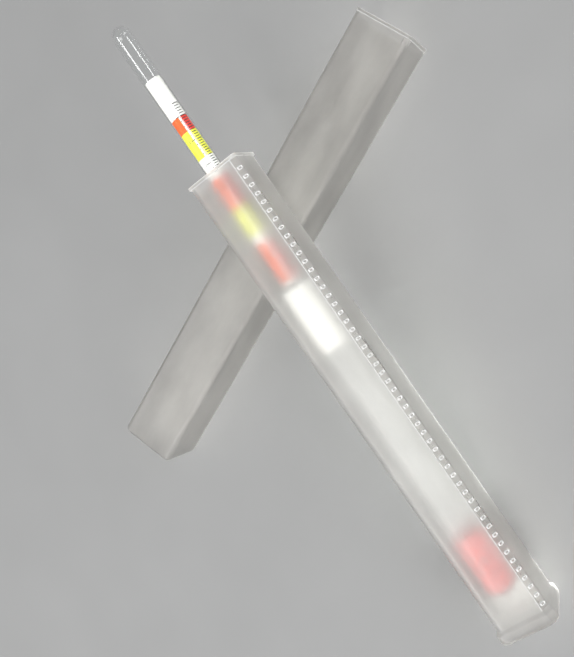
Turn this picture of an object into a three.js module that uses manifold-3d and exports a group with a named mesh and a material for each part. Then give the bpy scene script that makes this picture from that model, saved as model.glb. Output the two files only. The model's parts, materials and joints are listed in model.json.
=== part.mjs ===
// A glass triple-scale brewing hydrometer lying in the open base of its square telescopic
// case, with the loose cap of the case lying crosswise underneath.
// Millimetres, +Z up. The base tube runs along +X from its foot to its raised mouth.
import * as THREE from "three";
import { mergeVertices } from "three/addons/utils/BufferGeometryUtils.js";
import Module from "manifold-3d";

// ---- Driving dimensions: case base -----------------------------------------------------
const BASE_LENGTH = 191.5;
const BASE_HALF = 10.25; // half the outer side of the tube
const BASE_WALL = 0.8;
const BASE_CORNER = 2.4; // outer radius of the three plain corners
const TRACK_LEG = 2.5; // leg of the flat cut along the fourth corner, which carries the nubs
const LIP_HEIGHT = 1.2;
const LIP_PROUD = 0.25;
const LIP_CORNER = 0.7;
const FOOT_HALF = 11.25;
const FOOT_HEIGHT = 6;
const FOOT_EDGE = 2;
const FOOT_SLOPE = 1; // height of the slope from the foot's side in to the tube
const FLOOR_THICKNESS = 1.2;
const FLOOR_EDGE = 1.5;
const NUB_COUNT = 52;
const NUB_PITCH = 3.5;
const FIRST_NUB = 7.8; // from the foot's end to the centre of the lowest nub
const NUB = { along: 1.5, across: 2.1, height: 0.6, sink: 0.3, corner: 0.45, bevel: 0.25 };

// ---- Driving dimensions: case cap ------------------------------------------------------
const CAP_LENGTH = 182;
const CAP_HALF = 11.25;
const CAP_WALL = 0.7;
const CAP_CORNER = 2;
const CAP_INNER_CORNER = 1.2;
const CAP_END_EDGE = 2;
const CAP_FLOOR_EDGE = 1;
const CATCH = { back: 2.4, along: 1.6, across: 3, tip: 13.15, root: 14.8 };
const CATCH_GROOVE = { along: 0.9, across: 2.2, depth: 13.95, top: 16 };

// ---- Driving dimensions: hydrometer, measured from its lower tip ---------------------------
const STEM_RADIUS = 3.6;
const STEM_WALL = 0.45;
const BODY_RADIUS = 6.4;
const BODY_WALL = 0.6;
const TIP_THICKNESS = 7;
const NOSE_LENGTH = 7;
const INNER_NOSE_LENGTH = 5;
const SHOULDER_START = 137;
const SHOULDER_END = 146;
const NECK_TOP = 147;
const TOTAL_LENGTH = 250;
const WELD_GAP = 0.3;
const PAPER = 0.2;
const SCALE = { radius: 3.05, from: 140, to: 227 };
const LABEL = { radius: 5.6, from: 112.5, to: 137.8 };
const GLUE = { along: 1.6, across: 1.2, thick: 0.4, below: 3, clear: 0.75 };
const PELLET_RADIUS = 1.85;
const PELLET_GAP = 0.05;
const PELLET_WALL_GAP = 0.12;
const PELLET_RINGS = 6;
const PELLETS_PER_RING = 5;
const BOTTOM_PELLETS = 3;
const CORE_PELLETS = 4;
const FIRST_RING = 13.2;
const FIRST_CORE = 0.4; // above the first ring, as a share of the pellets' spacing
const BOTTOM_CLEAR = 0.95; // from the glass up to the bottom pellets
const BOTTOM_TURN = 0.3;
const UNEVEN = { share: 0.07, rate: 2.4 }; // how far each ring strays from the hollows below
const WAX = { radius: 5.55, thickness: 1.6, dish: 0.8, bend: 0.85, bendRise: 0.3 };

// ---- Driving dimensions: how the three pieces lie ----------------------------------------
const CAP_YAW = -66; // degrees from the base's direction, about +Z
const CROSSING = 166.6; // along the base, from its foot to the cap's centre line, in plan
const CAP_BEHIND = 102.4; // along the cap, from its closed end to the base's centre line
const TOUCH_GAP = 0.3; // left between pieces that rest on each other
const WALL_GAP = 0.15; // between the hydrometer's body and the walls it lies against
const REST_X = 5; // from the foot's end to the hydrometer's tip

const LATHE_SEGMENTS = 24;
const CORNER_STEPS = 4;
const EDGE_STEPS = 3;
const DOME_STEPS = 5;
const SHOULDER_STEPS = 6;
const EDGE_TAPER = 0.4; // how fast a tube's corners sharpen over its rounded end
const LEAST_CORNER = 0.6;

const wasm = await Module();
wasm.setup();

// ---- Materials -----------------------------------------------------------------------------
function look(color, roughness, metalness, opacity = 1) {
  return new THREE.MeshStandardMaterial({
    color,
    roughness,
    metalness,
    opacity,
    transparent: opacity < 1,
  });
}
const frosted = () => look(0xcfcfca, 0.45, 0, 0.6);
const glass = () => look(0xe8f0ee, 0.05, 0, 0.3);
const paper = () => look(0xf5f3ea, 0.8, 0);
const glue = () => look(0xd9c48c, 0.4, 0);
const wax = () => look(0xc8281e, 0.5, 0);
const steel = () => look(0x8d8f92, 0.35, 0.9);

// ---- Solids as booleans --------------------------------------------------------------------
function toSolid(geometry) {
  const bare = geometry.clone();
  bare.deleteAttribute("normal");
  bare.deleteAttribute("uv");
  const merged = mergeVertices(bare, 1e-4);
  const mesh = new wasm.Mesh({
    numProp: 3,
    vertProperties: merged.attributes.position.array,
    triVerts: new Uint32Array(merged.index.array),
  });
  return new wasm.Manifold(mesh);
}

function toGeometry(solid) {
  const mesh = solid.getMesh();
  const geometry = new THREE.BufferGeometry();
  geometry.setAttribute("position", new THREE.BufferAttribute(mesh.vertProperties, 3));
  geometry.setIndex(new THREE.BufferAttribute(mesh.triVerts, 1));
  geometry.computeVertexNormals();
  return geometry;
}

function named(name, geometry, material) {
  const mesh = new THREE.Mesh(geometry, material);
  mesh.name = name;
  return mesh;
}

// ---- Square tubes --------------------------------------------------------------------------
// One ring of a square tube at x: three round corners and, at -Y +Z, a corner that is round
// too, or cut flat with the given leg.
function ringPoints({ x, half, radius, leg }) {
  const points = [];
  for (let corner = 0; corner < 4; corner++) {
    const flat = leg !== undefined && corner === 1;
    const size = flat ? leg : radius;
    const start = (corner * Math.PI) / 2;
    const middle = start + Math.PI / 4;
    const centreY = (half - size) * Math.sign(Math.cos(middle));
    const centreZ = (half - size) * Math.sign(Math.sin(middle));
    for (let step = 0; step <= CORNER_STEPS; step++) {
      const share = step / CORNER_STEPS;
      const angle = start + (share * Math.PI) / 2;
      const turn = Math.PI / 2;
      const y = flat
        ? THREE.MathUtils.lerp(Math.cos(start), Math.cos(start + turn), share)
        : Math.cos(angle);
      const z = flat
        ? THREE.MathUtils.lerp(Math.sin(start), Math.sin(start + turn), share)
        : Math.sin(angle);
      points.push(new THREE.Vector3(x, centreY + size * y, centreZ + size * z));
    }
  }
  return points;
}

// A cup along +X: the rings run from the outside of the closed end to the mouth and back
// down the inside to the floor, and each end of the list is closed with a fan.
function squareCup(rings) {
  const position = [];
  const index = [];
  const perRing = 4 * (CORNER_STEPS + 1);
  position.push(rings[0].x, 0, 0);
  for (const ring of rings) {
    for (const point of ringPoints(ring)) {
      position.push(point.x, point.y, point.z);
    }
  }
  position.push(rings[rings.length - 1].x, 0, 0);
  const last = 1 + rings.length * perRing;
  for (let i = 0; i < perRing; i++) {
    const next = (i + 1) % perRing;
    index.push(0, 1 + next, 1 + i);
    for (let k = 0; k + 1 < rings.length; k++) {
      const low = 1 + k * perRing;
      const high = low + perRing;
      index.push(low + i, low + next, high + next);
      index.push(low + i, high + next, high + i);
    }
    index.push(last - perRing + i, last - perRing + next, last);
  }
  const geometry = new THREE.BufferGeometry();
  geometry.setAttribute("position", new THREE.Float32BufferAttribute(position, 3));
  geometry.setIndex(index);
  return geometry;
}

// The rounded edge where a closed end of half width `half` turns into the side.
function endEdge(half, edge, corner) {
  const rings = [];
  for (let step = 0; step <= EDGE_STEPS; step++) {
    const angle = (step / EDGE_STEPS) * (Math.PI / 2);
    const inset = edge * (1 - Math.sin(angle));
    rings.push({
      x: edge * (1 - Math.cos(angle)),
      half: half - inset,
      radius: Math.max(corner - inset * EDGE_TAPER, LEAST_CORNER),
    });
  }
  return rings;
}

// A block on the corner at -Y +Z, its height measured outwards along the diagonal.
function cornerBlock(along, across, from, to, x) {
  const block = new THREE.BoxGeometry(along, to - from, across);
  block.translate(0, (from + to) / 2, 0);
  block.rotateX((3 * Math.PI) / 4);
  block.translate(x, 0, 0);
  return toSolid(block);
}

// ---- Case base -----------------------------------------------------------------------------
// A ratchet nub: a bevelled pad with round corners, standing on the flat corner track.
function nubGeometry() {
  const { along, across, height, sink, corner, bevel } = NUB;
  const halfX = along / 2 - bevel;
  const halfY = across / 2 - bevel;
  const outline = new THREE.Shape();
  outline.moveTo(halfX, -halfY + corner);
  outline.lineTo(halfX, halfY - corner);
  outline.lineTo(halfX - corner, halfY);
  outline.lineTo(-halfX + corner, halfY);
  outline.lineTo(-halfX, halfY - corner);
  outline.lineTo(-halfX, -halfY + corner);
  outline.lineTo(-halfX + corner, -halfY);
  outline.lineTo(halfX - corner, -halfY);
  outline.closePath();
  const pad = new THREE.ExtrudeGeometry(outline, {
    depth: height + sink - 2 * bevel,
    bevelThickness: bevel,
    bevelSize: bevel,
    bevelSegments: 1,
    curveSegments: 1,
  });
  pad.translate(0, 0, bevel - sink);
  pad.rotateX(Math.PI / 4);
  return pad;
}

function caseBase() {
  const inner = BASE_HALF - BASE_WALL;
  const innerCorner = BASE_CORNER - BASE_WALL / 2;
  const innerLeg = TRACK_LEG - BASE_WALL * (2 - Math.SQRT2);
  const lip = BASE_HALF + LIP_PROUD;
  const rings = endEdge(FOOT_HALF, FOOT_EDGE, BASE_CORNER).map((ring) => ({
    ...ring,
    leg: ring.radius,
  }));
  rings.push(
    { x: FOOT_HEIGHT - FOOT_SLOPE, half: FOOT_HALF, radius: BASE_CORNER, leg: BASE_CORNER },
    { x: FOOT_HEIGHT, half: BASE_HALF, radius: BASE_CORNER, leg: TRACK_LEG },
    { x: BASE_LENGTH - LIP_HEIGHT, half: BASE_HALF, radius: BASE_CORNER, leg: TRACK_LEG },
    { x: BASE_LENGTH - LIP_HEIGHT, half: lip, radius: LIP_CORNER, leg: LIP_CORNER },
    { x: BASE_LENGTH, half: lip, radius: LIP_CORNER, leg: LIP_CORNER },
    { x: BASE_LENGTH, half: inner, radius: innerCorner, leg: innerLeg },
    { x: FLOOR_THICKNESS + FLOOR_EDGE, half: inner, radius: innerCorner, leg: innerLeg },
    { x: FLOOR_THICKNESS, half: inner - FLOOR_EDGE, radius: innerCorner, leg: innerLeg },
  );
  let solid = toSolid(squareCup(rings));
  const trackDistance = (2 * BASE_HALF - TRACK_LEG) / 2;
  const nub = nubGeometry();
  for (let i = 0; i < NUB_COUNT; i++) {
    const placed = nub.clone();
    placed.translate(FIRST_NUB + i * NUB_PITCH, -trackDistance, trackDistance);
    solid = solid.add(toSolid(placed));
  }
  return named("case_base", toGeometry(solid), frosted());
}

// ---- Case cap ------------------------------------------------------------------------------
function caseCap() {
  const inner = CAP_HALF - CAP_WALL;
  const lip = CAP_HALF + LIP_PROUD;
  const rings = [
    ...endEdge(CAP_HALF, CAP_END_EDGE, CAP_CORNER),
    { x: CAP_LENGTH - LIP_HEIGHT, half: CAP_HALF, radius: CAP_CORNER },
    { x: CAP_LENGTH - LIP_HEIGHT, half: lip, radius: CAP_CORNER },
    { x: CAP_LENGTH, half: lip, radius: CAP_CORNER },
    { x: CAP_LENGTH, half: inner, radius: CAP_INNER_CORNER },
    { x: CAP_WALL + CAP_FLOOR_EDGE, half: inner, radius: CAP_INNER_CORNER },
    { x: CAP_WALL, half: inner - CAP_FLOOR_EDGE, radius: CAP_INNER_CORNER },
  ];
  const catchX = CAP_LENGTH - CATCH.back;
  const bump = cornerBlock(CATCH.along, CATCH.across, CATCH.tip, CATCH.root, catchX);
  const groove = cornerBlock(
    CATCH_GROOVE.along,
    CATCH_GROOVE.across,
    CATCH_GROOVE.depth,
    CATCH_GROOVE.top,
    catchX,
  );
  const solid = toSolid(squareCup(rings)).add(bump).subtract(groove);
  return named("case_cap", toGeometry(solid), frosted());
}

// ---- Hydrometer ----------------------------------------------------------------------------
// Turned pieces are drawn as [radius, height] and laid along +X.
function turned(name, outline, material) {
  const points = outline.map(([radius, height]) => new THREE.Vector2(radius, height));
  const geometry = new THREE.LatheGeometry(points, LATHE_SEGMENTS);
  geometry.rotateZ(-Math.PI / 2);
  return named(name, geometry, material);
}

// A quarter of an ellipse from the axis out to the side, or back when reversed.
function quarter(radius, length, tip, up) {
  const points = [];
  for (let step = 0; step <= DOME_STEPS; step++) {
    const angle = (step / DOME_STEPS) * (Math.PI / 2);
    const reach = length * (1 - Math.cos(angle));
    points.push([radius * Math.sin(angle), up ? tip + reach : tip - reach]);
  }
  points[0][0] = 0;
  return points;
}

function glassStem() {
  const bore = STEM_RADIUS - STEM_WALL;
  const inside = quarter(bore, bore, TOTAL_LENGTH - STEM_WALL, false);
  const outside = quarter(STEM_RADIUS, STEM_RADIUS, TOTAL_LENGTH, false).reverse();
  return turned(
    "glass_stem",
    [...inside, [bore, NECK_TOP], [STEM_RADIUS, NECK_TOP], ...outside],
    glass(),
  );
}

// The shoulder's radius falls along a half cosine from the body to the neck.
function shoulder(bodyRadius, neckRadius) {
  const points = [];
  for (let step = 0; step <= SHOULDER_STEPS; step++) {
    const share = step / SHOULDER_STEPS;
    const fall = (1 - Math.cos(Math.PI * share)) / 2;
    points.push([
      THREE.MathUtils.lerp(bodyRadius, neckRadius, fall),
      THREE.MathUtils.lerp(SHOULDER_START, SHOULDER_END, share),
    ]);
  }
  return points;
}

function glassBody() {
  const bore = BODY_RADIUS - BODY_WALL;
  const neckBore = STEM_RADIUS - STEM_WALL;
  const neckTop = NECK_TOP - WELD_GAP;
  const outside = [
    ...quarter(BODY_RADIUS, NOSE_LENGTH, 0, true),
    ...shoulder(BODY_RADIUS, STEM_RADIUS),
    [STEM_RADIUS, neckTop],
  ];
  const inside = [
    ...quarter(bore, INNER_NOSE_LENGTH, TIP_THICKNESS, true),
    ...shoulder(bore, neckBore),
    [neckBore, neckTop],
  ];
  return turned("glass_body", [...outside, ...inside.reverse()], glass());
}

function paperRoll(name, { radius, from, to }) {
  const inside = radius - PAPER;
  const outline = [
    [inside, from],
    [radius, from],
    [radius, to],
    [inside, to],
    [inside, from],
  ];
  return turned(name, outline, paper());
}

// A drop of glue on the inside of a paper roll, just below its upper edge.
function glueDot(name, roll) {
  const drop = new THREE.SphereGeometry(1, 10, 6);
  drop.scale(GLUE.along, GLUE.across, GLUE.thick);
  drop.translate(roll.to - GLUE.below, 0, roll.radius - PAPER - GLUE.clear);
  return named(name, drop, glue());
}

function pelletCentres() {
  const centres = [];
  const spacing = 2 * PELLET_RADIUS + PELLET_GAP;
  const bore = BODY_RADIUS - BODY_WALL;
  const ringRadius = bore - PELLET_RADIUS - PELLET_WALL_GAP;
  const slice = (2 * Math.PI) / PELLETS_PER_RING;
  let x = FIRST_RING;
  let lead = 0;
  for (let ring = 0; ring < PELLET_RINGS; ring++) {
    for (let i = 0; i < PELLETS_PER_RING; i++) {
      const angle = lead + i * slice;
      centres.push([x, ringRadius * Math.cos(angle), ringRadius * Math.sin(angle)]);
    }
    // The next ring settles into this one's hollows, a little unevenly.
    const offset = slice * (0.5 + UNEVEN.share * Math.sin(UNEVEN.rate * ring));
    const nearest = Math.min(offset, slice - offset);
    const chord = 2 * ringRadius * Math.sin(nearest / 2);
    x += Math.sqrt(spacing * spacing - chord * chord);
    lead += offset;
  }
  for (let i = 0; i < CORE_PELLETS; i++) {
    centres.push([FIRST_RING + (i + FIRST_CORE) * spacing, 0, 0]);
  }
  const bottomRadius = spacing / 2 / Math.sin(Math.PI / BOTTOM_PELLETS);
  for (let i = 0; i < BOTTOM_PELLETS; i++) {
    const angle = (i * 2 * Math.PI) / BOTTOM_PELLETS + BOTTOM_TURN;
    const bottomX = TIP_THICKNESS + PELLET_RADIUS + BOTTOM_CLEAR;
    centres.push([bottomX, bottomRadius * Math.cos(angle), bottomRadius * Math.sin(angle)]);
  }
  return centres;
}

function hydrometer() {
  const group = new THREE.Group();
  const centres = pelletCentres();
  const pelletTop = Math.max(...centres.map(([x]) => x)) + PELLET_RADIUS + PELLET_GAP;
  const waxTop = pelletTop + WAX.thickness;
  group.add(
    glassStem(),
    glassBody(),
    paperRoll("scale_paper", SCALE),
    paperRoll("label_paper", LABEL),
    glueDot("scale_glue_dot", SCALE),
    glueDot("label_glue_dot", LABEL),
    turned(
      "wax_seal",
      [
        [0, pelletTop],
        [WAX.radius, pelletTop],
        [WAX.radius, waxTop + WAX.dish],
        [WAX.radius * WAX.bend, waxTop + WAX.dish * WAX.bendRise],
        [0, waxTop],
      ],
      wax(),
    ),
  );
  centres.forEach(([x, y, z], i) => {
    const pellet = named(
      "ballast_pellet_" + String(i + 1).padStart(2, "0"),
      new THREE.IcosahedronGeometry(PELLET_RADIUS, 1),
      steel(),
    );
    pellet.position.set(x, y, z);
    group.add(pellet);
  });
  return group;
}

// ---- Assembly ------------------------------------------------------------------------------
const yaw = THREE.MathUtils.degToRad(CAP_YAW);
const capGroup = new THREE.Group();
capGroup.add(caseCap());
capGroup.rotation.z = yaw;
capGroup.position.set(
  CROSSING - CAP_BEHIND * Math.cos(yaw),
  -CAP_BEHIND * Math.sin(yaw),
  CAP_HALF + LIP_PROUD,
);

// The base stands on the round edge of its foot and leans on the cap's upper long edge that
// is nearer to the foot, at the corner of its underside that meets this edge first.
const nearEdge = CROSSING + CAP_HALF / Math.sin(yaw) - BASE_HALF / Math.tan(-yaw);
const restHeight = 2 * CAP_HALF + LIP_PROUD + TOUCH_GAP;
const pivotX = FOOT_EDGE;
const rise = restHeight - FOOT_EDGE;
const run = nearEdge - pivotX;
const drop = BASE_HALF - (FOOT_HALF - FOOT_EDGE);
const tilt = Math.atan2(rise, run) + Math.asin(drop / Math.hypot(rise, run));

const baseGroup = new THREE.Group();
baseGroup.add(caseBase());
baseGroup.rotation.y = -tilt;
const pivot = new THREE.Vector3(FOOT_EDGE, 0, FOOT_EDGE - FOOT_HALF).applyEuler(baseGroup.rotation);
baseGroup.position.set(pivotX - pivot.x, 0, FOOT_EDGE - pivot.z);

const resting = hydrometer();
const offset = BASE_HALF - BASE_WALL - BODY_RADIUS - WALL_GAP;
resting.position.set(REST_X, offset, -offset);
baseGroup.add(resting);

// The origin is at the middle of the assembly's footprint, on the surface it lies on.
const assembly = new THREE.Group();
assembly.add(baseGroup, capGroup);
const bounds = new THREE.Box3().setFromObject(assembly, true);
const middle = bounds.getCenter(new THREE.Vector3());
assembly.position.set(-middle.x, -middle.y, -bounds.min.z);

const group = new THREE.Group();
group.add(assembly);
export default group;
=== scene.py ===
"""A glass brewing hydrometer in the open base of its frosted telescopic case, with the cap
of the case lying crosswise underneath. Each piece is modelled in millimetres along its own
+X axis, which starts at its lower end, and is then placed where the CAD node lies."""

import json
import math
import random

import bpy
import numpy as np
from mathutils import Matrix, Vector


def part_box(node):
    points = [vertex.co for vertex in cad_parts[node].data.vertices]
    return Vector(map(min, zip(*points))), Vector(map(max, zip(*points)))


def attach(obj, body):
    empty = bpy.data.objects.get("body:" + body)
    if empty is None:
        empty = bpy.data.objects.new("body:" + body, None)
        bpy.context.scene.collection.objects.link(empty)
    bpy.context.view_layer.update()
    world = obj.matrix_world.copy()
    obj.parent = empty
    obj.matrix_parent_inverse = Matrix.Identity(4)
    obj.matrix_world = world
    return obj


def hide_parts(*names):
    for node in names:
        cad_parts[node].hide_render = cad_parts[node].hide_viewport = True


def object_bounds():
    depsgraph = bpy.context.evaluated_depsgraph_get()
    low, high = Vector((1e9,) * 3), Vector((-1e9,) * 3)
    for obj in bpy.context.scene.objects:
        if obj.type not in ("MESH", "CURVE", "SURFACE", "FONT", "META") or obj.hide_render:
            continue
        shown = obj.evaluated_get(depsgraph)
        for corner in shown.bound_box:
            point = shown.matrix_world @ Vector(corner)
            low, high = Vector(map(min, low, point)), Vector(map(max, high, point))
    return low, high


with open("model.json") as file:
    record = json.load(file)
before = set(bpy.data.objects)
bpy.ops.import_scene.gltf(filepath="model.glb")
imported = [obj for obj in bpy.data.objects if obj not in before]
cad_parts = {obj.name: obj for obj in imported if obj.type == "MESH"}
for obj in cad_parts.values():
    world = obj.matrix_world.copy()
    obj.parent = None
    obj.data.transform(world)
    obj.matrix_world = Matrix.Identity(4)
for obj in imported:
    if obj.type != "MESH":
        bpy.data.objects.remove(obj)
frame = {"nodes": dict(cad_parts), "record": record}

cad_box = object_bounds()
MM = 0.001
rng = random.Random(11)

# ---- Dimensions, in millimetres ----------------------------------------------------------
BASE_LENGTH = 191.5
BASE_HALF = 10.25
BASE_WALL = 0.8
BASE_CORNER = 2.4
TRACK_LEG = 2.5  # leg of the flat cut along one corner of the base, which carries the nubs
LIP_HEIGHT = 1.2
LIP_PROUD = 0.25
LIP_CORNER = 0.7
FOOT_HALF = 11.22
FOOT_HEIGHT = 6.0
FOOT_SLOPE = 1.6
END_EDGE = 2.0
END_CLEAR = 0.03  # how far the flat ends stay inside the CAD's
END_TAPER = 0.4  # how fast the corners of a flat end tighten towards its face
LEAST_CORNER = 0.8
FLOOR_THICKNESS = 1.2
FLOOR_EDGE = 1.5
NUB_COUNT = 52
NUB_PITCH = 3.5
FIRST_NUB = 7.8
NUB_ALONG = 1.5
NUB_ACROSS = 2.1
NUB_SINK = 0.3
NUB_STEPS = 20
NUB_SQUARENESS = 0.6  # 1 is an ellipse, 0 a rectangle
# height over the flat corner and inset, up the outside of a nub and down into its dish
NUB_LEVELS = (
    (-NUB_SINK, 0.0),
    (0.0, 0.0),
    (0.35, 0.04),
    (0.54, 0.12),
    (0.6, 0.22),
    (0.57, 0.3),
    (0.4, 0.38),
    (0.28, 0.48),
)
CAP_LENGTH = 181.97
CAP_HALF = 11.25
CAP_WALL = 0.7
CAP_CORNER = 2.0
CAP_INNER_CORNER = 1.2
CAP_FLOOR_EDGE = 1.0
CATCH_BACK = 2.4  # from the mouth of the cap to the middle of the catch
# along, across, start and end on the diagonal, softening
CATCH_BLOCK = (1.6, 3.0, 13.15, 14.8, 0.25)
CATCH_HOLLOW = (0.9, 2.2, 13.95, 16.0, 0.2)
EDGE_ROUND = 0.14  # small rounding on lips
FACE_BOW = 0.12  # how far the long walls sink in at their middle, as thin mouldings do
BOW_RISE = 20.0  # over this length from the closed end the walls start to sink in
BOW_FALL = 12.0  # and over this length before the lip they come back
WALL_RINGS = 24
WALL_MARGIN = 4.0

STEM_RADIUS = 3.6
STEM_WALL = 0.45
BODY_RADIUS = 6.4
BODY_WALL = 0.6
TIP_THICKNESS = 7.0
NOSE_LENGTH = 7.0
INNER_NOSE_LENGTH = 5.0
SHOULDER_START = 137.0
SHOULDER_END = 146.0
TOTAL_LENGTH = 249.95
SCALE_RADIUS = 3.05
SCALE_FROM = 140.0
SCALE_TO = 227.0
LABEL_RADIUS = 5.6
LABEL_FROM = 112.5
LABEL_TO = 137.8
PAPER = 0.1
PELLET_RADIUS = 1.85
WAX_TOP = 31.4

CORNER_STEPS = 10  # points round each corner
SIDE_SHARES = (0.025, 0.15, 0.3, 0.5, 0.7, 0.85, 0.975)
CUT_SOFT = 0.45  # how far the edges of the flat corner are softened
ROUND_STEPS = 80


# ---- Where the pieces lie ----------------------------------------------------------------
def joint_axis(name):
    """The direction in which a joint of the record slides."""
    for joint in frame["record"]["behaviour"]["joints"]:
        if joint["name"] == name:
            return Vector(joint["axis"]).normalized()
    raise KeyError(name)


def piece_frame(node, along, across):
    """The frame of a CAD node that runs along a unit vector. Its origin is the middle of the
    node's lower end, read from the node's own mesh."""
    rise = along.cross(across)
    axes = np.array([along, across, rise])
    reach = np.array([v.co for v in frame["nodes"][node].data.vertices]) @ axes.T
    low, high = reach.min(axis=0), reach.max(axis=0)
    start = (low[0], (low[1] + high[1]) / 2, (low[2] + high[2]) / 2)
    origin = along * start[0] + across * start[1] + rise * start[2]
    matrix = Matrix((along, across, rise)).transposed().to_4x4()
    matrix.translation = origin
    return matrix


tube_along = joint_axis("hydrometer_slide")
cap_along = joint_axis("cap_slide")
BASE_FRAME = piece_frame("case_base", tube_along, Vector((0, 1, 0)))
HYDROMETER_FRAME = piece_frame("glass_body", tube_along, Vector((0, 1, 0)))
CAP_FRAME = piece_frame("case_cap", cap_along, Vector((0, 0, 1)).cross(cap_along))


# ---- Camera ------------------------------------------------------------------------------
CAMERA_PLACE = (-0.04024346, -0.10828532, 0.3231142)
CAMERA_RIGHT = (-0.52036147, -0.7674035, -0.37458753)
CAMERA_UP = (0.84155657, -0.53529195, -0.07242285)
CAMERA_LENS = 48.79
CAMERA_SENSOR = 36.0


def add_camera():
    data = bpy.data.cameras.new("camera")
    data.lens = CAMERA_LENS
    data.sensor_width = CAMERA_SENSOR
    data.clip_start = 0.01
    data.clip_end = 20.0
    camera = bpy.data.objects.new("camera", data)
    right, up = Vector(CAMERA_RIGHT), Vector(CAMERA_UP)
    camera.matrix_world = Matrix((right, up, right.cross(up))).transposed().to_4x4()
    camera.location = CAMERA_PLACE
    bpy.context.scene.collection.objects.link(camera)
    bpy.context.scene.camera = camera


# ---- Materials ---------------------------------------------------------------------------
class Look:
    """A Principled material with procedural detail in the coordinates of a piece's frame."""

    def __init__(self, name, place=HYDROMETER_FRAME, **values):
        self.material = bpy.data.materials.new(name)
        self.material.use_nodes = True
        self.tree = self.material.node_tree
        self.shader = self.tree.nodes["Principled BSDF"]
        self.output = self.tree.nodes["Material Output"]
        for key, value in values.items():
            self.shader.inputs[key.replace("_", " ")].default_value = value
        coordinates = self.tree.nodes.new("ShaderNodeTexCoord")
        back = place.inverted()
        turn = self.tree.nodes.new("ShaderNodeMapping")
        turn.inputs["Rotation"].default_value = back.to_euler()
        turn.inputs["Location"].default_value = back.translation
        self.link(coordinates.outputs["Object"], turn.inputs["Vector"])
        self.place = turn.outputs["Vector"]

    def node(self, kind, **values):
        made = self.tree.nodes.new(kind)
        for key, value in values.items():
            made.inputs[key.replace("_", " ")].default_value = value
        return made

    def link(self, source, target):
        self.tree.links.new(source, target)

    def noise(self, size_mm, detail=3.0, rough=0.55, stretch=(1, 1, 1)):
        """Noise with grains of about size_mm, drawn out along an axis by its stretch."""
        mapping = self.node("ShaderNodeMapping")
        mapping.inputs["Scale"].default_value = [1 / (size_mm * MM * s) for s in stretch]
        self.link(self.place, mapping.inputs["Vector"])
        noise = self.node("ShaderNodeTexNoise", Scale=1.0, Detail=detail, Roughness=rough)
        self.link(mapping.outputs["Vector"], noise.inputs["Vector"])
        return noise.outputs["Fac"]

    def span(self, source, low, high, from_low=0.3, from_high=0.7):
        """The source, spread over low to high."""
        spread = self.node("ShaderNodeMapRange")
        spread.inputs["From Min"].default_value = from_low
        spread.inputs["From Max"].default_value = from_high
        spread.inputs["To Min"].default_value = low
        spread.inputs["To Max"].default_value = high
        self.link(source, spread.inputs["Value"])
        return spread.outputs["Result"]

    def blend(self, factor, first, second):
        """A colour between two colours."""
        mix = self.tree.nodes.new("ShaderNodeMix")
        mix.data_type = "RGBA"
        mix.inputs[6].default_value = (*first, 1)
        mix.inputs[7].default_value = (*second, 1)
        self.link(factor, mix.inputs[0])
        return mix.outputs[2]

    def add(self, first, second, share):
        """The first height plus a share of the second."""
        total = self.tree.nodes.new("ShaderNodeMath")
        total.operation = "MULTIPLY_ADD"
        total.inputs[1].default_value = share
        self.link(second, total.inputs[0])
        self.link(first, total.inputs[2])
        return total.outputs[0]

    def bump(self, height, depth_mm, strength=1.0):
        bump = self.node("ShaderNodeBump", Strength=strength, Distance=depth_mm * MM)
        self.link(height, bump.inputs["Height"])
        self.link(bump.outputs["Normal"], self.shader.inputs["Normal"])

    def set(self, socket, source):
        self.link(source, self.shader.inputs[socket])

    def let_lamps_through(self, share, tint):
        """Lamps reach what lies behind this surface, dimmed to the given share."""
        path = self.tree.nodes.new("ShaderNodeLightPath")
        amount = self.tree.nodes.new("ShaderNodeMath")
        amount.operation = "MULTIPLY"
        amount.inputs[1].default_value = share
        self.link(path.outputs["Is Shadow Ray"], amount.inputs[0])
        clear = self.tree.nodes.new("ShaderNodeBsdfTransparent")
        clear.inputs["Color"].default_value = (*tint, 1)
        mix = self.tree.nodes.new("ShaderNodeMixShader")
        self.link(amount.outputs[0], mix.inputs[0])
        self.link(self.shader.outputs[0], mix.inputs[1])
        self.link(clear.outputs[0], mix.inputs[2])
        self.link(mix.outputs[0], self.output.inputs["Surface"])


def frosted_look(name, place, light, shade, clearness, rough_low, rough_high):
    """Frosted moulded plastic: a fine etched grain, cloudy patches, draw marks along the
    tube and a few scuffs."""
    look = Look(name, place, IOR=1.49, Transmission_Weight=clearness)
    look.shader.inputs["Specular IOR Level"].default_value = 0.5
    grain = look.noise(0.35, detail=2.0)
    cloud = look.noise(9.0, detail=4.0, stretch=(2.2, 1, 1))
    draw = look.noise(1.1, detail=3.0, stretch=(60, 1, 1))
    scuff = look.noise(0.8, detail=5.0, rough=0.7, stretch=(14, 1, 1))
    look.set("Base Color", look.blend(look.span(cloud, 0.0, 1.0), shade, light))
    rough = look.add(
        look.span(cloud, rough_low, rough_high), look.span(scuff, 0.0, 1.0, 0.6, 0.8), 0.12
    )
    look.set("Roughness", rough)
    height = look.add(look.span(grain, 0.0, 0.5), look.span(draw, 0.0, 1.0), 0.6)
    look.bump(height, 0.035, 0.55)
    look.let_lamps_through(0.95, (0.98, 0.98, 0.97))
    return look.material


# Face kinds: plain wall, the track painted darker as shade, and the nubs and edges painted whiter
# as highlight
WALL, SHADED_TRACK, LIT_NUB, LIT_RIM = 0, 1, 2, 3


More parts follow.
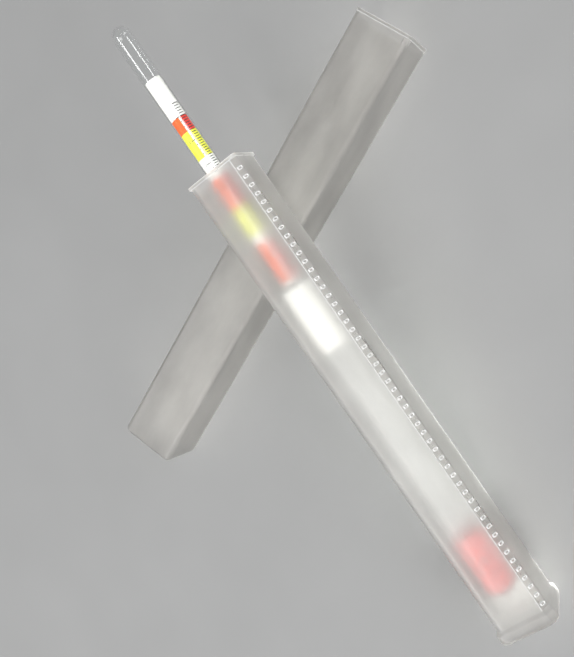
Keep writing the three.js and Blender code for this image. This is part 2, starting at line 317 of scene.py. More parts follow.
def plastics(name, place, clearness, light, shade):
    """The case's plastic: its frosted walls; the smoother track, whose darker colour is painted
    shade;
    and the nubs and the edges, whose whiter, less clear plastic is painted highlight."""
    return [
        frosted_look(f"frosted_{name}_wall", place, light, shade, clearness, 0.35, 0.46),
        # the track: smoother, and darker and less clear as painted shade
        frosted_look(
            f"frosted_{name}_track_painted_shade", place, (0.7, 0.68, 0.66), (0.56, 0.54, 0.52), 0.85, 0.22, 0.34
        ),
        # the nubs: whiter and less clear, painted highlight
        frosted_look(
            f"frosted_{name}_nub_painted_highlight", place, (0.97, 0.97, 0.96), (0.88, 0.88, 0.87), 0.2, 0.2, 0.3
        ),
        # the edges: whiter and less clear, painted highlight
        frosted_look(
            f"frosted_{name}_rim_painted_highlight", place, (0.97, 0.97, 0.96), (0.85, 0.85, 0.84), 0.25, 0.25, 0.4
        ),
    ]


def plastic_kinds(points, faces, length, half, wall, leg=None):
    """Which plastic each face of a tube shows. The flat track and the dish in each nub take darker
    plastic, painted shade; the nubs and the edges take whiter plastic, painted highlight.
    """
    kinds = []
    lip = length - LIP_HEIGHT
    corner = (2 * half - leg) / math.sqrt(2) if leg else None
    for face in faces:
        x, y, z = np.mean([points[i] for i in face], axis=0)
        outside = max(abs(y), abs(z)) > half - wall / 2
        kind = WALL
        # the mouth and the outer edge of the lip: whiter plastic, painted highlight
        if x > length - EDGE_ROUND * 1.5 or (abs(x - lip) < EDGE_ROUND and outside):
            kind = LIT_RIM
        # faces just above the foot's slope: whiter plastic, painted highlight
        elif leg and outside and FOOT_HEIGHT < x < FOOT_HEIGHT + FOOT_SLOPE * 0.7:
            kind = LIT_RIM
        elif leg and FOOT_HEIGHT < x < lip:
            out = (z - y) / math.sqrt(2)
            if out > corner + 0.03 and abs(y + z) < NUB_ACROSS:
                # each nub is whiter as painted highlight, and the dish at its top takes the darker
                # track plastic as painted shade
                kind = SHADED_TRACK if abs(out - corner - 0.28) < 0.02 else LIT_NUB
            # the rounded edge between the top face and the track: whiter plastic, painted
            # highlight
            elif z > half - 0.2 and -0.3 < y + half - leg < 0.1:
                kind = LIT_RIM
            # the flat track itself: darker plastic, painted shade
            elif out > corner - 0.03:
                kind = SHADED_TRACK
        kinds.append(kind)
    return kinds


def glass_look(name, clearness, haze):
    look = Look(name, IOR=1.47, Transmission_Weight=clearness)
    look.set("Base Color", look.blend(look.noise(30.0), (0.985, 0.995, 0.99), (1, 1, 1)))
    smear = look.noise(4.0, detail=4.0, stretch=(5, 1, 1))
    look.set("Roughness", look.span(smear, 0.0, haze, 0.45, 0.75))
    draw = look.noise(1.6, detail=1.0, stretch=(30, 1, 1))
    look.bump(draw, 0.02, 0.08)
    look.let_lamps_through(0.9, (0.97, 0.985, 0.98))
    return look.material


def paper_look(name, light, shade, shine=0.55):
    """Paper or the ink printed on it: fibres, a slight mottle and a dull surface."""
    look = Look(name)
    fibre = look.noise(0.25, detail=4.0, rough=0.7, stretch=(1, 2.5, 1))
    mottle = look.noise(2.4, detail=3.0)
    tone = look.add(look.span(mottle, 0.0, 0.7), look.span(fibre, 0.0, 1.0), 0.3)
    look.set("Base Color", look.blend(tone, shade, light))
    look.set("Roughness", look.span(fibre, shine, shine + 0.2))
    look.bump(fibre, 0.015, 0.5)
    return look.material


def ink_look():
    look = Look("black_ink")
    speck = look.noise(0.12, detail=2.0)
    tone = look.span(speck, 0, 1)
    look.set("Base Color", look.blend(tone, (0.008, 0.008, 0.01), (0.03, 0.03, 0.032)))
    look.set("Roughness", look.span(speck, 0.35, 0.55))
    return look.material


def wax_look():
    """Poured red wax: cloudy, with shrink marks where it set against the glass."""
    look = Look("sealing_wax", Subsurface_Weight=0.35, Coat_Weight=0.15, IOR=1.45)
    look.shader.inputs["Subsurface Radius"].default_value = (1.0, 0.12, 0.08)
    look.shader.inputs["Subsurface Scale"].default_value = 1.2 * MM
    cloud = look.noise(3.2, detail=4.0)
    fine = look.noise(0.7, detail=3.0)
    tone = look.span(cloud, 0, 1)
    look.set("Base Color", look.blend(tone, (0.42, 0.01, 0.009), (0.72, 0.035, 0.016)))
    look.set("Roughness", look.span(fine, 0.25, 0.5))
    look.bump(look.add(cloud, fine, 0.4), 0.25, 0.5)
    return look.material


def steel_look():
    look = Look("ballast_steel", Metallic=0.9)
    spot = look.noise(0.9, detail=4.0)
    fine = look.noise(0.15, detail=2.0)
    look.set("Base Color", look.blend(look.span(spot, 0, 1), (0.2, 0.14, 0.12), (0.42, 0.4, 0.39)))
    look.set("Roughness", look.span(fine, 0.28, 0.5))
    look.bump(fine, 0.03, 0.4)
    return look.material


def glue_look():
    look = Look("dried_glue", Coat_Weight=0.4, Subsurface_Weight=0.2)
    look.shader.inputs["Subsurface Scale"].default_value = 0.6 * MM
    cloud = look.noise(0.8, detail=3.0)
    tone = look.span(cloud, 0, 1)
    look.set("Base Color", look.blend(tone, (0.5, 0.34, 0.12), (0.72, 0.58, 0.3)))
    look.set("Roughness", look.span(cloud, 0.2, 0.4))
    look.bump(cloud, 0.1, 0.4)
    return look.material


# ---- Mesh helpers ------------------------------------------------------------------------
def add_piece(name, points, faces, materials, place, body, slot, nodes=(), sharp=38.0, kinds=None):
    """A named piece from points in millimetres in its own frame. kinds gives each face's
    material. It rides on a body and stands for the given CAD nodes."""
    mesh = bpy.data.meshes.new(name)
    mesh.from_pydata([tuple(c * MM for c in p) for p in points], [], faces)
    for material in materials:
        mesh.materials.append(material)
    if kinds is not None:
        mesh.polygons.foreach_set("material_index", kinds)
    mesh.transform(place)
    mesh.update()
    piece = bpy.data.objects.new(name, mesh)
    bpy.context.scene.collection.objects.link(piece)
    mesh.polygons.foreach_set("use_smooth", [True] * len(mesh.polygons))
    mesh.set_sharp_from_angle(angle=math.radians(sharp))
    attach(piece, body)
    if nodes:
        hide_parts(*nodes)
    return piece


def loft(rings):
    """Points and outward faces of rings in order, each with the same number of points, closed
    at both ends."""
    count = len(rings[0])
    points = [p for ring in rings for p in ring]
    faces = []
    for k in range(len(rings) - 1):
        low, high = k * count, (k + 1) * count
        for i in range(count):
            j = (i + 1) % count
            faces.append((low + i, low + j, high + j, high + i))
    faces.append(tuple(range(count - 1, -1, -1)))
    faces.append(tuple(range(len(points) - count, len(points))))
    return points, faces


def turned(profile, steps=ROUND_STEPS):
    """A surface turned round +X from [x, radius] pairs. A radius of 0 closes an end."""
    points, faces, rings = [], [], []
    for x, radius in profile:
        start = len(points)
        if radius == 0:
            points.append((x, 0.0, 0.0))
            rings.append([start] * steps)
            continue
        for i in range(steps):
            angle = 2 * math.pi * i / steps
            points.append((x, radius * math.cos(angle), radius * math.sin(angle)))
        rings.append([start + i for i in range(steps)])
    for low, high in zip(rings, rings[1:]):
        for i in range(steps):
            j = (i + 1) % steps
            corners = (low[i], high[i], high[j], low[j])
            faces.append(tuple(dict.fromkeys(corners[::-1])))
    return points, faces


def joined(*parts):
    """Several lists of points and faces as one."""
    points, faces = [], []
    for some_points, some_faces in parts:
        start = len(points)
        points += some_points
        faces += [tuple(i + start for i in face) for face in some_faces]
    return points, faces


def flipped(points, faces):
    return points, [face[::-1] for face in faces]


# ---- Square tubes ------------------------------------------------------------------------
def square_ring(x, half, radius, leg=None, bow=0.0):
    """One ring of a square tube: three round corners and, at -Y +Z, a corner that is round
    too, or cut flat with the given leg and softened. Each side sinks in by bow at its
    middle."""
    ring = []
    for corner in range(4):
        flat = leg is not None and corner == 1
        size = leg if flat else radius
        start = corner * math.pi / 2
        out = np.array((math.cos(start), math.sin(start)))
        ahead = np.array((-math.sin(start), math.cos(start)))
        for step in range(CORNER_STEPS):
            share = step / (CORNER_STEPS - 1)
            if flat:
                place = cut_corner(half, leg, share)
            else:
                turn = share * math.pi / 2
                place = (half - size + size * math.cos(turn), half - size + size * math.sin(turn))
            point = out * place[0] + ahead * place[1]
            ring.append((x, point[0], point[1]))
        # the side that follows this corner
        next_size = leg if leg is not None and corner == 0 else radius
        from_run, to_run = -(half - size), half - next_size
        for share in SIDE_SHARES:
            run = from_run + share * (to_run - from_run)
            depth = half - bow * (1 - (2 * share - 1) ** 2)
            point = ahead * depth - out * run
            ring.append((x, point[0], point[1]))
    return ring


def cut_corner(half, leg, share):
    """A place on a flat cut corner whose two edges are softened, as reaches along the side
    before it and the side after it."""
    soft = min(CUT_SOFT, leg)
    cut = (2 * half - leg) / math.sqrt(2)
    near = half - soft
    far = math.sqrt(2) * (cut - soft) - near
    if share < 0.5:
        turn = share * math.pi / 2 * CORNER_STEPS / (CORNER_STEPS - 2)
        return near + soft * math.cos(turn), far + soft * math.sin(turn)
    turn = math.pi / 2 - (1 - share) * math.pi / 2 * CORNER_STEPS / (CORNER_STEPS - 2)
    return far + soft * math.cos(turn), near + soft * math.sin(turn)


def rounded_step(x0, half0, x1, half1, turn, steps=4):
    """Places round a quarter turn between two levels: turn is "out" where the wall leaves x0
    first, or "up" where it climbs first."""
    places = []
    for step in range(steps + 1):
        angle = step / steps * math.pi / 2
        if turn == "out":
            share_half, share_x = math.sin(angle), 1 - math.cos(angle)
        else:
            share_half, share_x = 1 - math.cos(angle), math.sin(angle)
        places.append((x0 + (x1 - x0) * share_x, half0 + (half1 - half0) * share_half))
    return places


def end_places(half, edge):
    return rounded_step(END_CLEAR, half - edge, edge, half, "out", 8)


def smooth_places(x0, half0, x1, half1, steps=6):
    """Places along a soft slope."""
    places = []
    for step in range(steps + 1):
        share = step / steps
        ease = (1 - math.cos(math.pi * share)) / 2
        places.append((x0 + (x1 - x0) * share, half0 + (half1 - half0) * ease))
    return places


def lip_places(length, half, inner):
    """From the tube's side out round its proud lip to the inner edge of its mouth."""
    lip = half + LIP_PROUD
    start = length - LIP_HEIGHT
    e = EDGE_ROUND
    outer = [(start - 0.05, half), (start, half + 0.04)]
    outer += rounded_step(start, lip - e, start + e, lip, "out", 3)
    outer += rounded_step(length - e, lip, length, lip - e, "up", 3)
    mouth = rounded_step(length, inner + e, length - e, inner, "out", 3)
    return outer, mouth


def bow_at(x, start, length):
    """How far the walls sink in at a place along a tube."""
    return FACE_BOW * min(1.0, (x - start) / BOW_RISE, (length - LIP_HEIGHT - x) / BOW_FALL)


def case_base():
    inner = BASE_HALF - BASE_WALL
    inner_corner = BASE_CORNER - BASE_WALL / 2
    inner_leg = TRACK_LEG - BASE_WALL * (2 - math.sqrt(2))
    rings = []
    for x, half in end_places(FOOT_HALF, END_EDGE):
        corner = max(BASE_CORNER - END_TAPER * (FOOT_HALF - half), LEAST_CORNER)
        rings.append(square_ring(x, half, corner, corner))
    for x, half in smooth_places(FOOT_HEIGHT - FOOT_SLOPE, FOOT_HALF, FOOT_HEIGHT, BASE_HALF):
        share = (x - FOOT_HEIGHT + FOOT_SLOPE) / FOOT_SLOPE
        leg = BASE_CORNER + share * (TRACK_LEG - BASE_CORNER)
        rings.append(square_ring(x, half, BASE_CORNER, leg))
    outer, mouth = lip_places(BASE_LENGTH, BASE_HALF, inner)
    lengths = np.linspace(FOOT_HEIGHT + WALL_MARGIN, outer[0][0] - WALL_MARGIN, WALL_RINGS)
    for x in lengths:
        bow = bow_at(x, FOOT_HEIGHT, BASE_LENGTH)
        rings.append(square_ring(x, BASE_HALF, BASE_CORNER, TRACK_LEG, bow))
    for i, (x, half) in enumerate(outer):
        corner = BASE_CORNER if i < 2 else LIP_CORNER
        leg = TRACK_LEG if i < 2 else LIP_CORNER
        rings.append(square_ring(x, half, corner, leg))
    for x, half in mouth:
        rings.append(square_ring(x, half, inner_corner, inner_leg))
    for x in lengths[::-1]:
        bow = bow_at(x, FOOT_HEIGHT, BASE_LENGTH)
        rings.append(square_ring(x, inner, inner_corner, inner_leg, bow))
    floor = rounded_step(
        FLOOR_THICKNESS + FLOOR_EDGE, inner, FLOOR_THICKNESS, inner - FLOOR_EDGE, "up", 6
    )
    for x, half in floor:
        rings.append(square_ring(x, half, inner_corner, inner_leg))
    return loft(rings)


def ratchet_nubs():
    """The row of ratchet nubs on the flat corner: small pads with a raised rim and a dished
    middle."""
    parts = []
    distance = (2 * BASE_HALF - TRACK_LEG) / math.sqrt(2)
    out = np.array((0, -math.sqrt(0.5), math.sqrt(0.5)))
    along = np.array((1.0, 0, 0))
    across = np.array((0, math.sqrt(0.5), math.sqrt(0.5)))
    for k in range(NUB_COUNT):
        centre = along * (FIRST_NUB + k * NUB_PITCH) + out * distance
        rings = []
        for height, inset in NUB_LEVELS:
            ring = []
            for i in range(NUB_STEPS):
                angle = 2 * math.pi * i / NUB_STEPS
                c, s = math.cos(angle), math.sin(angle)
                a = math.copysign(abs(c) ** NUB_SQUARENESS, c) * (NUB_ALONG / 2 - inset)
                b = math.copysign(abs(s) ** NUB_SQUARENESS, s) * (NUB_ACROSS / 2 - inset)
                ring.append(tuple(centre + along * a + across * b + out * height))
            rings.append(ring)
        points, faces = loft(rings)
        parts.append(flipped(points, faces))
    return joined(*parts)


def case_cap():
    inner = CAP_HALF - CAP_WALL
    rings = []
    for x, half in end_places(CAP_HALF, END_EDGE):
        corner = max(CAP_CORNER - END_TAPER * (CAP_HALF - half), LEAST_CORNER)
        rings.append(square_ring(x, half, corner))
    outer, mouth = lip_places(CAP_LENGTH, CAP_HALF, inner)
    lengths = np.linspace(END_EDGE + WALL_MARGIN, outer[0][0] - WALL_MARGIN, WALL_RINGS)
    for x in lengths:
        bow = bow_at(x, END_EDGE, CAP_LENGTH)
        rings.append(square_ring(x, CAP_HALF, CAP_CORNER, None, bow))
    for x, half in outer:
        rings.append(square_ring(x, half, CAP_CORNER))
    for x, half in mouth:
        rings.append(square_ring(x, half, CAP_INNER_CORNER))
    for x in lengths[::-1]:
        bow = bow_at(x, END_EDGE, CAP_LENGTH)
        rings.append(square_ring(x, inner, CAP_INNER_CORNER, None, bow))
    edge = CAP_FLOOR_EDGE
    for x, half in rounded_step(CAP_WALL + edge, inner, CAP_WALL, inner - edge, "up", 6):
        rings.append(square_ring(x, half, CAP_INNER_CORNER))
    return loft(rings)


def corner_block(x, along, across, start, end, soft):
    """A soft-edged block on the corner at -Y +Z of a tube, from start out to end along the
    diagonal."""
    out = np.array((0, -math.sqrt(0.5), math.sqrt(0.5)))
    side = np.array((0, math.sqrt(0.5), math.sqrt(0.5)))
    middle = np.array((x, 0, 0))
    rings = []
    for depth, inset in ((start, soft), (start + soft, 0.0), (end, 0.0)):
        ring = []
        for a, b in ((-1, -1), (1, -1), (1, 1), (-1, 1)):
            shift = np.array((a * (along / 2 - inset), 0, 0)) + side * b * (across / 2 - inset)
            ring.append(tuple(middle + shift + out * depth))
        rings.append(ring)
    return flipped(*loft(rings))


def boolean(name, first, second, operation):
    """The points and faces of two closed meshes after a boolean."""
    objects = []
    for tag, (points, faces) in (("a", first), ("b", second)):
        mesh = bpy.data.meshes.new(f"{name}_{tag}")
        mesh.from_pydata(points, [], faces)
        mesh.update()
        piece = bpy.data.objects.new(f"{name}_{tag}", mesh)
        bpy.context.scene.collection.objects.link(piece)
        objects.append(piece)
    modifier = objects[0].modifiers.new("boolean", "BOOLEAN")
    modifier.operation = operation
    modifier.solver = "EXACT"
    modifier.object = objects[1]
    graph = bpy.context.evaluated_depsgraph_get()
    result = objects[0].evaluated_get(graph).to_mesh()
    points = [tuple(v.co) for v in result.vertices]
    faces = [tuple(p.vertices) for p in result.polygons]
    objects[0].evaluated_get(graph).to_mesh_clear()
    for piece in objects:
        mesh = piece.data
        bpy.data.objects.remove(piece)
        bpy.data.meshes.remove(mesh)
    return points, faces


# ---- Hydrometer --------------------------------------------------------------------------
def quarter(radius, length, tip, steps, way=1):
    """A quarter of an ellipse from the axis at tip out to the side."""
    places = []
    for step in range(steps + 1):
        angle = step / steps * math.pi / 2
        places.append((tip + way * length * (1 - math.cos(angle)), radius * math.sin(angle)))
    places[0] = (tip, 0)
    return places


def glass_profile(body_radius, neck_radius, tip, nose, top):
    """The glass surface from its lower tip to its domed top."""
    places = quarter(body_radius, nose, tip, 14)
    places += [(x, body_radius) for x in np.linspace(tip + nose + 10, SHOULDER_START - 10, 8)]
    places += smooth_places(SHOULDER_START, body_radius, SHOULDER_END, neck_radius, 16)
    places += [(x, neck_radius) for x in np.linspace(SHOULDER_END + 6, top - neck_radius - 6, 8)]
    places += quarter(neck_radius, neck_radius, top, 10, -1)[::-1]
    return places


def hydrometer_glass():
    outer = glass_profile(BODY_RADIUS, STEM_RADIUS, 0.0, NOSE_LENGTH, TOTAL_LENGTH)
    inner = glass_profile(
        BODY_RADIUS - BODY_WALL,
        STEM_RADIUS - STEM_WALL,
        TIP_THICKNESS,
        INNER_NOSE_LENGTH,
        TOTAL_LENGTH - STEM_WALL,
    )
    return joined(turned(outer), flipped(*turned(inner)))


SEAM_FLAP = 24  # degrees that a rolled paper overlaps itself
SEAM_DIP = 7
SHEET_STEP = 3.0


def rolled_sheet(radius, levels, seam):
    """A sheet rolled up and overlapped at its seam, with rows of faces between the given
    levels along +X. Gives each face its row and its angle too."""
    turns = []
    dip = PAPER + 0.02
    for angle in np.arange(0, 360 + SEAM_FLAP + SHEET_STEP / 2, SHEET_STEP):
        past = min(max((angle - 360 + SEAM_DIP) / SEAM_DIP, 0.0), 1.0)
        turns.append((seam + angle, radius - dip * past))
    ring_size = 2 * len(turns)
    points, faces, rows, angles = [], [], [], []
    for x in levels:
        ring = [(r, a) for a, r in turns] + [(r - PAPER, a) for a, r in reversed(turns)]
        for r, a in ring:
            turn = math.radians(a)
            points.append((x, r * math.cos(turn), r * math.sin(turn)))
    ring_angles = [a for a, r in turns] + [a for a, r in reversed(turns)]
    outside = len(turns) - 1
    for k in range(len(levels) - 1):
        low, high = k * ring_size, (k + 1) * ring_size
        for i in range(ring_size):
            j = (i + 1) % ring_size
            faces.append((low + i, low + j, high + j, high + i))
            rows.append(k)
            angles.append((ring_angles[i] + ring_angles[j]) / 2 if i < outside else None)
    last = (len(levels) - 1) * ring_size
    half = len(turns)
    for i in range(half - 1):
        near, far = ring_size - 1 - i, ring_size - 2 - i
        faces.append((i, near, far, i + 1))
        faces.append((last + i, last + i + 1, last + far, last + near))
        rows += [-1, -1]
        angles += [None, None]
    return points, faces, rows, angles


# The printed scale. Angles go round the stem from +Y towards +Z, in degrees.
# LIT_RED is the one red ink of the bands made a lighter orange where the light falls: painted
# light
WHITE, RED, LIT_RED, YELLOW = 0, 1, 2, 3
BANDS = (
    (210.5, 204.5, RED),
    (204.5, 193.7, YELLOW),
    (186.0, 172.5, RED),
    (172.5, 160.8, YELLOW),
    (157.6, 141.0, RED),
)
SUGAR_COLUMN = (0.0, 108.0)
GRAVITY_COLUMN = (119.0, 192.0)
ALCOHOL_COLUMN = (262.0, 306.0)
SEAM = 222.0
FLOAT_MASS = 20.69  # grams, glass and ballast together
VOLUME_TO_NECK = 18.104  # cubic centimetres under water up to the neck
NECK = 147.0
STEM_AREA = math.pi * STEM_RADIUS ** 2 / 1000  # cubic centimetres for each millimetre


def level_of(gravity):
    """Where the surface of a liquid of this specific gravity meets the stem."""
    return NECK + (FLOAT_MASS / gravity - VOLUME_TO_NECK) / STEM_AREA


def gravity_of_sugar(degrees):
    return 1 + degrees / (258.6 - degrees / 258.2 * 227.1)


def gravity_of_alcohol(percent):
    return 1 + percent / 131.0


def band_at(x, angle):
    """The colour printed at a place on the scale paper. The red bands on the lit left column are
    made a lighter orange: painted light.
    """
    angle %= 360
    if SUGAR_COLUMN[0] < angle < SUGAR_COLUMN[1]:
        left = True
    elif GRAVITY_COLUMN[0] < angle < GRAVITY_COLUMN[1]:
        left = False
    else:
        return WHITE
    for top, bottom, colour in BANDS:
        if bottom < x < top:
            # red bands on the left column take the lighter orange: painted light
            return LIT_RED if colour == RED and left else colour
    return WHITE


INK_BELOW, INK_ABOVE = -0.01, 0.02  # the ink's thickness, measured from the paper's face


def arc_slab(x, width, angle_from, angle_to):
    """A printed line that wraps part of the way round the scale paper."""
    steps = max(2, int(abs(angle_to - angle_from) / 4))
    rings = []
    for step in range(steps + 1):
        turn = math.radians(angle_from + (angle_to - angle_from) * step / steps)
        c, s = math.cos(turn), math.sin(turn)
        ring = []
        for dx, dr in (
            (-0.5, INK_BELOW),
            (0.5, INK_BELOW),
            (0.5, INK_ABOVE),
            (-0.5, INK_ABOVE),
        ):
            r = SCALE_RADIUS + dr
            ring.append((x + dx * width, r * c, r * s))
        rings.append(ring)
    return loft(rings)


def wrapped_text(text, size, x, angle):
    """A number wrapped round the scale paper, upright when the stem is, and centred on a
    level and an angle."""
    curve = bpy.data.curves.new("number", "FONT")
    curve.body = text
    curve.size = size
    curve.resolution_u = 2
    curve.extrude = 0.01
    curve.align_x = "CENTER"
    holder = bpy.data.objects.new("number", curve)
    bpy.context.scene.collection.objects.link(holder)
    graph = bpy.context.evaluated_depsgraph_get()
    mesh = holder.evaluated_get(graph).to_mesh()
    middle = size * 0.35
    points = []
    for v in mesh.vertices:
        turn = math.radians(angle) + v.co.x / SCALE_RADIUS
        r = SCALE_RADIUS + 0.008 + v.co.z
        points.append((x + v.co.y - middle, r * math.cos(turn), r * math.sin(turn)))
    faces = [tuple(p.vertices) for p in mesh.polygons]
    holder.evaluated_get(graph).to_mesh_clear()
    bpy.data.objects.remove(holder)
    bpy.data.curves.remove(curve)
    return points, faces


TICK = 0.3
LONG_TICK = 0.36
NUMBER_SIZE = 1.35


def scale_print():
    """The ticks and numbers of the three columns: specific gravity, sugar and alcohol."""
    parts = []
    lowest, highest = SCALE_FROM + 1.5, SCALE_TO - 3
    for k in range(495, 600):
        gravity = k * 0.002
        x = level_of(gravity)
        if not lowest < x < highest:
            continue
        tenth = k % 5 == 0
        parts.append(arc_slab(x, LONG_TICK if tenth else TICK, 125, 172 if tenth else 164))
        if tenth:
            number = round(gravity * 1000)
            text = f"{gravity:.3f}" if number % 100 == 0 or number < 1000 else str(number % 100)
            parts.append(wrapped_text(text, NUMBER_SIZE, x, 189 if len(text) < 3 else 196))
    for degrees in range(0, 40):
        x = level_of(gravity_of_sugar(degrees))
        if not lowest < x < highest:
            continue
        fifth = degrees % 5 == 0
        parts.append(arc_slab(x, TICK, 90 if fifth else 109, 119 if fifth else 116))
        if fifth:
            parts.append(wrapped_text(str(degrees), NUMBER_SIZE, x, 76))
    for percent in range(0, 20):
        x = level_of(gravity_of_alcohol(percent))
        if not lowest < x < highest:
            continue
        parts.append(arc_slab(x, TICK, ALCOHOL_COLUMN[0], ALCOHOL_COLUMN[0] + 26))
        parts.append(wrapped_text(str(percent), NUMBER_SIZE, x, 306))
    return joined(*parts)


# ---- Ballast -----------------------------------------------------------------------------
def lumpy_ball(centre, radius, wobble):
    """A slightly uneven round shot."""
    rows, steps = 9, 16
    phases = [rng.uniform(0, 2 * math.pi) for _ in range(3)]
    points, faces, rings = [], [], []
    for row in range(rows + 1):
        polar = math.pi * row / rows
        start = len(points)
        whole = 0 < row < rows
        for i in range(steps if whole else 1):
            turn = 2 * math.pi * i / steps
            bend = math.sin(2 * turn + phases[0]) * math.sin(polar + phases[1])
            r = radius * (1 - wobble * (1 + bend) / 2)
            points.append(
                (
                    centre[0] + r * math.cos(polar),
                    centre[1] + r * math.sin(polar) * math.cos(turn),
                    centre[2] + r * math.sin(polar) * math.sin(turn),
                )
            )
        rings.append([start + (i if whole else 0) for i in range(steps)])
    for low, high in zip(rings, rings[1:]):
        for i in range(steps):
            j = (i + 1) % steps
            faces.append(tuple(dict.fromkeys((low[i], high[i], high[j], low[j]))))
    return points, faces


def shot_centres():
    """Where the CAD's pellets are, in the hydrometer's frame, in millimetres."""
    back = HYDROMETER_FRAME.inverted()
    centres = []
    for name in sorted(frame["nodes"]):
        if name.startswith("ballast_pellet"):
            low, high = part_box(name)
            centres.append(tuple(c / MM for c in back @ ((low + high) / 2)))
    return centres


def wax_surface():
    """Wax poured over the shot: it follows the glass and creeps up it at the top."""
    bore = BODY_RADIUS - BODY_WALL - 0.1
    places = quarter(bore, INNER_NOSE_LENGTH, TIP_THICKNESS + 0.15, 10)
    straight = np.linspace(TIP_THICKNESS + INNER_NOSE_LENGTH + 1, WAX_TOP - 1, 26)
    places += [(x, bore) for x in straight]
    places += [(WAX_TOP + 0.6, bore - 0.05), (WAX_TOP + 0.7, bore - 0.25)]
    places += [(WAX_TOP + 0.25, bore - 0.8), (WAX_TOP - 0.1, bore * 0.6), (WAX_TOP - 0.25, 0)]
    points, faces = turned(places, 56)
    waves = [(rng.uniform(0.5, 1.6), rng.randint(2, 5), rng.uniform(0, 6.28)) for _ in range(5)]
    moved = []
    for x, y, z in points:
        turn = math.atan2(z, y)
        dip = sum(math.sin(rate * x + lobes * turn + phase) for rate, lobes, phase in waves)
        shrink = 1 - 0.012 * max(0.0, dip + 0.6)
        moved.append((x, y * shrink, z * shrink))
    return moved, faces


GLUE_REACH = (1.55, 1.15, 0.38)


def glue_blob(node):
    """A flattened drop of dried glue, in place of its CAD node."""
    back = HYDROMETER_FRAME.inverted()
    low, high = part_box(node)
    centre = [c / MM for c in back @ ((low + high) / 2)]
    points, faces = lumpy_ball((0, 0, 0), 1.0, 0.12)
    shaped = []
    for point in points:
        shaped.append(tuple(c + r * d for c, r, d in zip(centre, GLUE_REACH, point)))
    return shaped, faces


# ---- Putting it together -----------------------------------------------------------------
add_camera()

# The body's glass is less clear than the stem's and partly scatters white, which brightens the
# clear body along its length: a painted highlight. Its haze also makes it rougher.
glasses = [glass_look("clear_glass_stem", 1.0, 0.025), glass_look("body_glass_painted_highlight", 0.95, 0.08)]
papers = [
    paper_look("scale_paper_white", (0.9, 0.89, 0.86), (0.8, 0.79, 0.75)),
    paper_look("scale_ink_red", (0.8, 0.03, 0.015), (0.62, 0.02, 0.012), 0.4),
    # the red bands on the lit left column, printed a lighter orange: painted light on the one red
    # ink
    paper_look("scale_ink_lit_red", (0.9, 0.13, 0.012), (0.78, 0.09, 0.01), 0.4),
    paper_look("scale_ink_yellow", (0.86, 0.86, 0.07), (0.74, 0.76, 0.04), 0.4),
]
label_white = paper_look("label_paper_white", (0.86, 0.85, 0.83), (0.77, 0.76, 0.73))

tube = boolean("base", case_base(), ratchet_nubs(), "UNION")
add_piece(
    "case_base_tube",
    *tube,
    plastics("base", BASE_FRAME, 0.94, (0.9, 0.89, 0.87), (0.78, 0.77, 0.75)),
    BASE_FRAME,
    "case_base",
    "frosted_case",
    ["case_base"],
    42,
    plastic_kinds(*tube, BASE_LENGTH, BASE_HALF, BASE_WALL, TRACK_LEG),
)
catch_x = CAP_LENGTH - CATCH_BACK
shell = boolean("cap_catch", case_cap(), corner_block(catch_x, *CATCH_BLOCK), "UNION")
shell = boolean("cap_slot", shell, corner_block(catch_x, *CATCH_HOLLOW), "DIFFERENCE")
add_piece(
    "case_cap_tube",
    *shell,
    # The cap is the same plastic as the base; its lower clearness and darker colours are painted
    # shade.
    plastics("cap", CAP_FRAME, 0.88, (0.74, 0.73, 0.71), (0.6, 0.59, 0.575)),
    CAP_FRAME,
    "case_cap",
    "frosted_case",
    ["case_cap"],
    42,
    plastic_kinds(*shell, CAP_LENGTH, CAP_HALF, CAP_WALL),
)

envelope = hydrometer_glass()
add_piece(
    "hydrometer_glass",
    *envelope,
    glasses,
    HYDROMETER_FRAME,
    "hydrometer",
    "clear_glass",
    ["glass_stem", "glass_body"],
    60,
    [int(np.mean([envelope[0][i][0] for i in face]) < SHOULDER_END) for face in envelope[1]],
)

levels = sorted({x for band in BANDS for x in band[:2]} | {SCALE_FROM, SCALE_TO, 193.7, 218.0})
points, faces, rows, angles = rolled_sheet(SCALE_RADIUS, levels, SEAM)
kinds = []
for row, angle in zip(rows, angles):
    if angle is None or angle > SEAM + 360:
        kinds.append(WHITE)
    else:
        kinds.append(band_at((levels[row] + levels[row + 1]) / 2, angle))
add_piece(
    "scale_sheet",
    points,
    faces,
    papers,
    HYDROMETER_FRAME,
    "hydrometer",
    "printed_paper",
    ["scale_paper"],
    38,
    kinds,
)
points, faces = scale_print()
add_piece(
    "scale_print",
    points,
    faces,
    [ink_look()],
    HYDROMETER_FRAME,
    "hydrometer",
    "printed_paper",
)
levels = [LABEL_FROM, 118.0, 124.0, 131.0, LABEL_TO]
points, faces, rows, angles = rolled_sheet(LABEL_RADIUS, levels, 300.0)
add_piece(
    "label_sheet",
    points,
    faces,
    [label_white],
    HYDROMETER_FRAME,
    "hydrometer",
    "printed_paper",
    ["label_paper"],
)

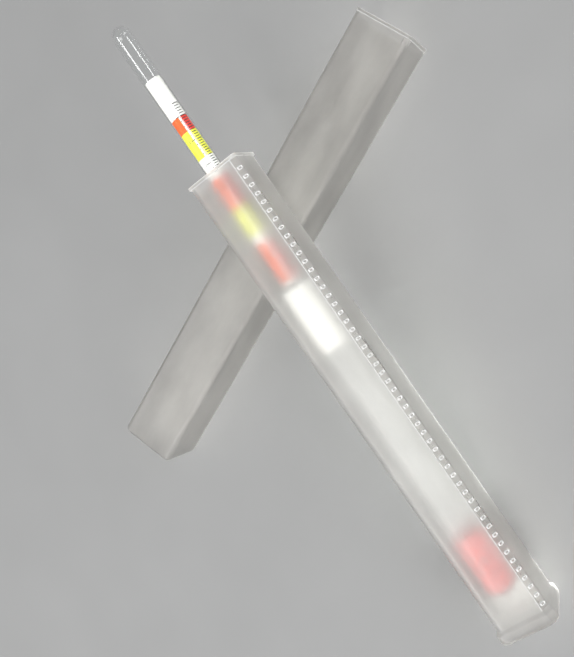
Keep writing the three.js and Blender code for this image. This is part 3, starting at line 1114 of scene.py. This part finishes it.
pellets = sorted(n for n in frame["nodes"] if n.startswith("ballast_pellet"))
balls = [lumpy_ball(centre, PELLET_RADIUS, 0.04) for centre in shot_centres()]
add_piece(
    "ballast_shot",
    *joined(*balls),
    [steel_look()],
    HYDROMETER_FRAME,
    "hydrometer",
    "ballast_steel",
    pellets,
    60,
)
add_piece(
    "wax_fill",
    *wax_surface(),
    [wax_look()],
    HYDROMETER_FRAME,
    "hydrometer",
    "sealing_wax",
    ["wax_seal"],
    60,
)
glue = glue_look()
for node in ("scale_glue_dot", "label_glue_dot"):
    piece = node.replace("_dot", "_drop")
    add_piece(piece, *glue_blob(node), [glue], HYDROMETER_FRAME, "hydrometer", "glue", [node], 60)


# ---- Floor and light ---------------------------------------------------------------------
def add_floor():
    mesh = bpy.data.meshes.new("floor")
    reach = 6.0
    mesh.from_pydata(
        [(-reach, -reach, 0), (reach, -reach, 0), (reach, reach, 0), (-reach, reach, 0)],
        [],
        [(0, 1, 2, 3)],
    )
    look = Look("pale_floor", Roughness=0.9)
    tone = look.span(look.noise(60.0, detail=2.0), 0, 1)
    look.set("Base Color", look.blend(tone, (0.35, 0.35, 0.347), (0.37, 0.37, 0.367)))
    mesh.materials.append(look.material)
    floor = bpy.data.objects.new("floor", mesh)
    bpy.context.scene.collection.objects.link(floor)


def add_light(name, place, target, size, power):
    data = bpy.data.lights.new(name, "AREA")
    data.shape = "RECTANGLE"
    data.size, data.size_y = size
    data.energy = power
    light = bpy.data.objects.new(name, data)
    light.location = place
    aim = Vector(target) - Vector(place)
    light.rotation_euler = aim.to_track_quat("-Z", "Y").to_euler()
    bpy.context.scene.collection.objects.link(light)


add_floor()
middle = (cad_box[0] + cad_box[1]) / 2
add_light("key", (-0.5, 0.8, 0.9), middle, (0.6, 0.6), 7)
add_light("side", (-0.1, -0.9, 0.8), middle, (0.8, 0.8), 8.8)
add_light("streak", (0.36, 0.55, 0.85), (0.1, -0.01, 0.05), (0.15, 0.3), 1.6)
add_light("edge", (-0.86, -0.08, 0.48), middle, (0.2, 0.2), 1.4)
add_light("sheen", (-0.32, 0.31, 0.93), middle, (0.25, 0.25), 1)
world = bpy.data.worlds.new("studio")
world.use_nodes = True
world.node_tree.nodes["Background"].inputs["Color"].default_value = (0.95, 0.97, 1.0, 1)
world.node_tree.nodes["Background"].inputs["Strength"].default_value = 0.28
bpy.context.scene.world = world
bpy.context.scene.view_settings.view_transform = "Standard"
